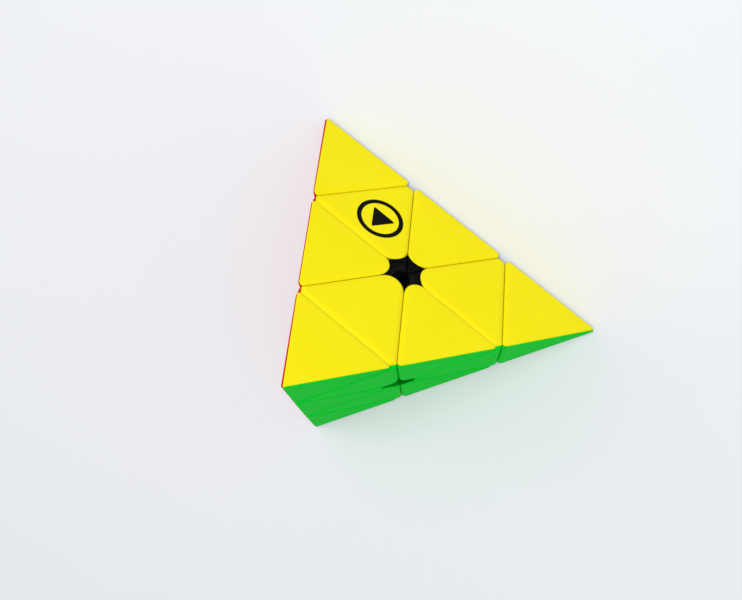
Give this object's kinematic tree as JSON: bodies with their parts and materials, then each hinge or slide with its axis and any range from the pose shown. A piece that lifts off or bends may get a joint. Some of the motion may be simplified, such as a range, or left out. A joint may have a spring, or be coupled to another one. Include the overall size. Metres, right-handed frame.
{
  "type": "pyramid twisty puzzle",
  "caption": "Tetrahedral twisty puzzle: coloured triangular tiles on sprung centres, turning tips and edges that turn about a ball core.",
  "frame": {"origin": "centre of the ball core, where the four turning axes cross", "axes": "+Z through the top vertex, with the blue face flat underneath; the yellow face looks towards -Y, the green face towards -X and +Y, the red face towards +X and +Y"},
  "size_m": [0.0958, 0.0832, 0.0785],
  "materials": {
    "yellow_tile": "semi-gloss moulded",
    "green_tile": "semi-gloss moulded",
    "red_tile": "semi-gloss moulded",
    "blue_tile": "semi-gloss moulded",
    "inner_plastic": "matt",
    "core_plastic": "matt",
    "steel": "bright"
  },
  "bodies": {
    "core": {"core_ball": "core_plastic", "screw_top": "steel", "screw_back": "steel", "screw_left": "steel", "screw_right": "steel", "spring_top": "steel", "spring_back": "steel", "spring_left": "steel", "spring_right": "steel"},
    "layer_top": {"centre_top_body": "inner_plastic", "centre_top_tile_yellow": "yellow_tile", "centre_top_tile_red": "red_tile", "centre_top_tile_green": "green_tile"},
    "layer_back": {"centre_back_body": "inner_plastic", "centre_back_tile_blue": "blue_tile", "centre_back_tile_red": "red_tile", "centre_back_tile_green": "green_tile"},
    "layer_left": {"centre_left_body": "inner_plastic", "centre_left_tile_blue": "blue_tile", "centre_left_tile_yellow": "yellow_tile", "centre_left_tile_green": "green_tile"},
    "layer_right": {"centre_right_body": "inner_plastic", "centre_right_tile_blue": "blue_tile", "centre_right_tile_yellow": "yellow_tile", "centre_right_tile_red": "red_tile"},
    "tip_top": {"tip_top_body": "inner_plastic", "tip_top_tile_yellow": "yellow_tile", "tip_top_tile_red": "red_tile", "tip_top_tile_green": "green_tile"},
    "tip_back": {"tip_back_body": "inner_plastic", "tip_back_tile_blue": "blue_tile", "tip_back_tile_red": "red_tile", "tip_back_tile_green": "green_tile"},
    "tip_left": {"tip_left_body": "inner_plastic", "tip_left_tile_blue": "blue_tile", "tip_left_tile_yellow": "yellow_tile", "tip_left_tile_green": "green_tile"},
    "tip_right": {"tip_right_body": "inner_plastic", "tip_right_tile_blue": "blue_tile", "tip_right_tile_yellow": "yellow_tile", "tip_right_tile_red": "red_tile"},
    "edge_top_left": {"edge_top_left_body": "inner_plastic", "edge_top_left_tile_yellow": "yellow_tile", "edge_top_left_tile_green": "green_tile"},
    "edge_top_right": {"edge_top_right_body": "inner_plastic", "edge_top_right_tile_yellow": "yellow_tile", "edge_top_right_tile_red": "red_tile"},
    "edge_top_back": {"edge_top_back_body": "inner_plastic", "edge_top_back_tile_red": "red_tile", "edge_top_back_tile_green": "green_tile"},
    "edge_left_right": {"edge_left_right_body": "inner_plastic", "edge_left_right_tile_blue": "blue_tile", "edge_left_right_tile_yellow": "yellow_tile"},
    "edge_right_back": {"edge_right_back_body": "inner_plastic", "edge_right_back_tile_blue": "blue_tile", "edge_right_back_tile_red": "red_tile"},
    "edge_back_left": {"edge_back_left_body": "inner_plastic", "edge_back_left_tile_blue": "blue_tile", "edge_back_left_tile_green": "green_tile"}
  },
  "joints": [
    {"name": "layer_top_turn", "type": "hinge", "parent": "core", "child": "layer_top", "pos_m": [0, 0, 0], "axis": [0, 0, 1], "continuous": true},
    {"name": "layer_back_turn", "type": "hinge", "parent": "core", "child": "layer_back", "pos_m": [0, 0, 0], "axis": [0, 0.9428, -0.3333], "range_deg": [-360, 360]},
    {"name": "layer_left_turn", "type": "hinge", "parent": "core", "child": "layer_left", "pos_m": [0, 0, 0], "axis": [-0.8165, -0.4714, -0.3333], "range_deg": [-360, 360]},
    {"name": "layer_right_turn", "type": "hinge", "parent": "core", "child": "layer_right", "pos_m": [0, 0, 0], "axis": [0.8165, -0.4714, -0.3333], "range_deg": [-360, 360]},
    {"name": "tip_top_turn", "type": "hinge", "parent": "layer_top", "child": "tip_top", "pos_m": [0, 0, 0], "axis": [0, 0, 1], "continuous": true},
    {"name": "tip_back_turn", "type": "hinge", "parent": "layer_back", "child": "tip_back", "pos_m": [0, 0, 0], "axis": [0, 0.9428, -0.3333], "continuous": true},
    {"name": "tip_left_turn", "type": "hinge", "parent": "layer_left", "child": "tip_left", "pos_m": [0, 0, 0], "axis": [-0.8165, -0.4714, -0.3333], "continuous": true},
    {"name": "tip_right_turn", "type": "hinge", "parent": "layer_right", "child": "tip_right", "pos_m": [0, 0, 0], "axis": [0.8165, -0.4714, -0.3333], "continuous": true},
    {"name": "edge_top_left_follow", "type": "hinge", "parent": "layer_top", "child": "edge_top_left", "pos_m": [0, 0, 0], "axis": [-0.8165, -0.4714, -0.3333], "range_deg": [-450, 450]},
    {"name": "edge_top_right_follow", "type": "hinge", "parent": "layer_top", "child": "edge_top_right", "pos_m": [0, 0, 0], "axis": [0.8165, -0.4714, -0.3333], "range_deg": [-450, 450]},
    {"name": "edge_top_back_follow", "type": "hinge", "parent": "layer_top", "child": "edge_top_back", "pos_m": [0, 0, 0], "axis": [0, 0.9428, -0.3333], "range_deg": [-450, 450]},
    {"name": "edge_left_right_follow", "type": "hinge", "parent": "layer_left", "child": "edge_left_right", "pos_m": [0, 0, 0], "axis": [0.8165, -0.4714, -0.3333], "range_deg": [-450, 450]},
    {"name": "edge_right_back_follow", "type": "hinge", "parent": "layer_right", "child": "edge_right_back", "pos_m": [0, 0, 0], "axis": [0, 0.9428, -0.3333], "range_deg": [-450, 450]},
    {"name": "edge_back_left_follow", "type": "hinge", "parent": "layer_back", "child": "edge_back_left", "pos_m": [0, 0, 0], "axis": [-0.8165, -0.4714, -0.3333], "range_deg": [-450, 450]}
  ],
  "couplings": [
    {"joint": "edge_top_left_follow", "follows": "layer_left_turn", "ratio": 1},
    {"joint": "edge_top_right_follow", "follows": "layer_right_turn", "ratio": 1},
    {"joint": "edge_top_back_follow", "follows": "layer_back_turn", "ratio": 1},
    {"joint": "edge_left_right_follow", "follows": "layer_right_turn", "ratio": 1},
    {"joint": "edge_right_back_follow", "follows": "layer_back_turn", "ratio": 1},
    {"joint": "edge_back_left_follow", "follows": "layer_left_turn", "ratio": 1}
  ]
}
